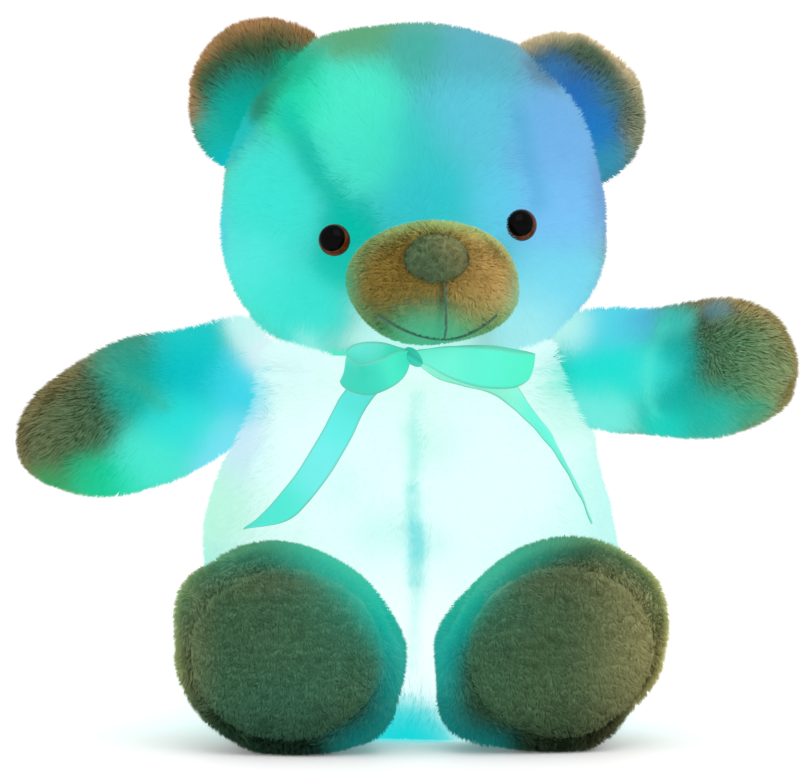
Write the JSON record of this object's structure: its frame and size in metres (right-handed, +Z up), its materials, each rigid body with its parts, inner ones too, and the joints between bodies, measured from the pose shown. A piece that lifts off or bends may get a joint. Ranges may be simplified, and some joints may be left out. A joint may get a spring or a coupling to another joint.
{
  "type": "plush night light",
  "caption": "Seated stuffed bear with spread arms, a neck ribbon tied in a bow, and a lamp string inside fed from a battery case in a back pocket.",
  "frame": {"origin": "on the seat, on the flat underside of the body, on the axis that the head turns about", "axes": "+Z up; -Y the way the bear faces; +X towards the bear's left arm"},
  "size_m": [0.3785, 0.2289, 0.3459],
  "materials": {
    "plush": "pile plush, lit from inside where it is thin",
    "velvet": "short pile",
    "muzzle_plush": "pile plush, denser than the face",
    "nose_plush": "short pile over a pad",
    "thread": "dark thread",
    "satin": "satin ribbon",
    "amber": "glossy amber",
    "black": "glossy black",
    "white_plastic": "moulded white",
    "lining": "woven lining",
    "tape": "hook and loop tape",
    "cell": "printed sleeve, no marks",
    "steel": "nickel plated",
    "lead": "insulated twin lead",
    "lamp": "clear lens"
  },
  "bodies": {
    "torso": {"body": "plush", "pocket_liner": "lining", "loop_tape": "tape", "battery_case": "white_plastic", "switch_body": "black", "body_lead": "lead", "battery_cell_1": "cell", "battery_cell_2": "cell", "battery_cell_3": "cell", "contact_spring_1": "steel", "contact_spring_2": "steel", "contact_spring_3": "steel", "contact_plate_1": "steel", "contact_plate_2": "steel", "contact_plate_3": "steel", "body_lamp_1": "lamp", "body_lamp_2": "lamp", "body_lamp_3": "lamp", "body_lamp_4": "lamp", "body_lamp_5": "lamp", "neck_ribbon": "satin", "bow_knot": "satin", "bow_loop_left": "satin", "bow_loop_right": "satin", "bow_tail_left": "satin", "bow_tail_right": "satin"},
    "head_group": {"head": "plush", "muzzle": "muzzle_plush", "nose": "nose_plush", "mouth_stitch": "thread", "head_lead": "lead", "head_lamp_1": "lamp", "head_lamp_2": "lamp", "head_lamp_3": "lamp", "head_lamp_4": "lamp", "ear_left": "plush", "eye_left": "amber", "pupil_left": "black", "eye_washer_left": "white_plastic", "ear_right": "plush", "eye_right": "amber", "pupil_right": "black", "eye_washer_right": "white_plastic"},
    "right_arm": {"arm_right": "plush"},
    "left_arm": {"arm_left": "plush"},
    "right_leg": {"leg_right": "plush", "sole_right": "velvet"},
    "left_leg": {"leg_left": "plush", "sole_left": "velvet"},
    "flap": {"back_flap": "plush", "hook_tape": "tape"},
    "lid": {"battery_lid": "white_plastic"},
    "knob": {"switch_knob": "black"}
  },
  "joints": [
    {"name": "neck_turn", "type": "hinge", "parent": "torso", "child": "head_group", "pos_m": [0, 0, 0.19], "axis": [0, 0, 1], "range_deg": [-25, 25], "stiffness_Nm_per_rad": 0.8},
    {"name": "shoulder_right", "type": "hinge", "parent": "torso", "child": "right_arm", "pos_m": [-0.083, 0, 0.1705], "axis": [0, 1, 0], "range_deg": [-10, 20], "stiffness_Nm_per_rad": 0.6},
    {"name": "shoulder_left", "type": "hinge", "parent": "torso", "child": "left_arm", "pos_m": [0.083, 0, 0.1715], "axis": [0, -1, 0], "range_deg": [-10, 20], "stiffness_Nm_per_rad": 0.6},
    {"name": "hip_right", "type": "hinge", "parent": "torso", "child": "right_leg", "pos_m": [-0.048, -0.046, 0.047], "axis": [-1, 0, 0], "range_deg": [0, 15], "stiffness_Nm_per_rad": 0.8},
    {"name": "hip_left", "type": "hinge", "parent": "torso", "child": "left_leg", "pos_m": [0.048, -0.046, 0.047], "axis": [-1, 0, 0], "range_deg": [0, 15], "stiffness_Nm_per_rad": 0.8},
    {"name": "flap_hinge", "type": "hinge", "parent": "torso", "child": "flap", "pos_m": [0, 0.0693, 0.13515], "axis": [1, 0, 0], "range_deg": [0, 120]},
    {"name": "lid_slide", "type": "slide", "parent": "torso", "child": "lid", "axis": [0, 0, 1], "range_m": [0, 0.008]},
    {"name": "switch_slide", "type": "slide", "parent": "torso", "child": "knob", "axis": [1, 0, 0], "range_m": [0, 0.004]}
  ]
}
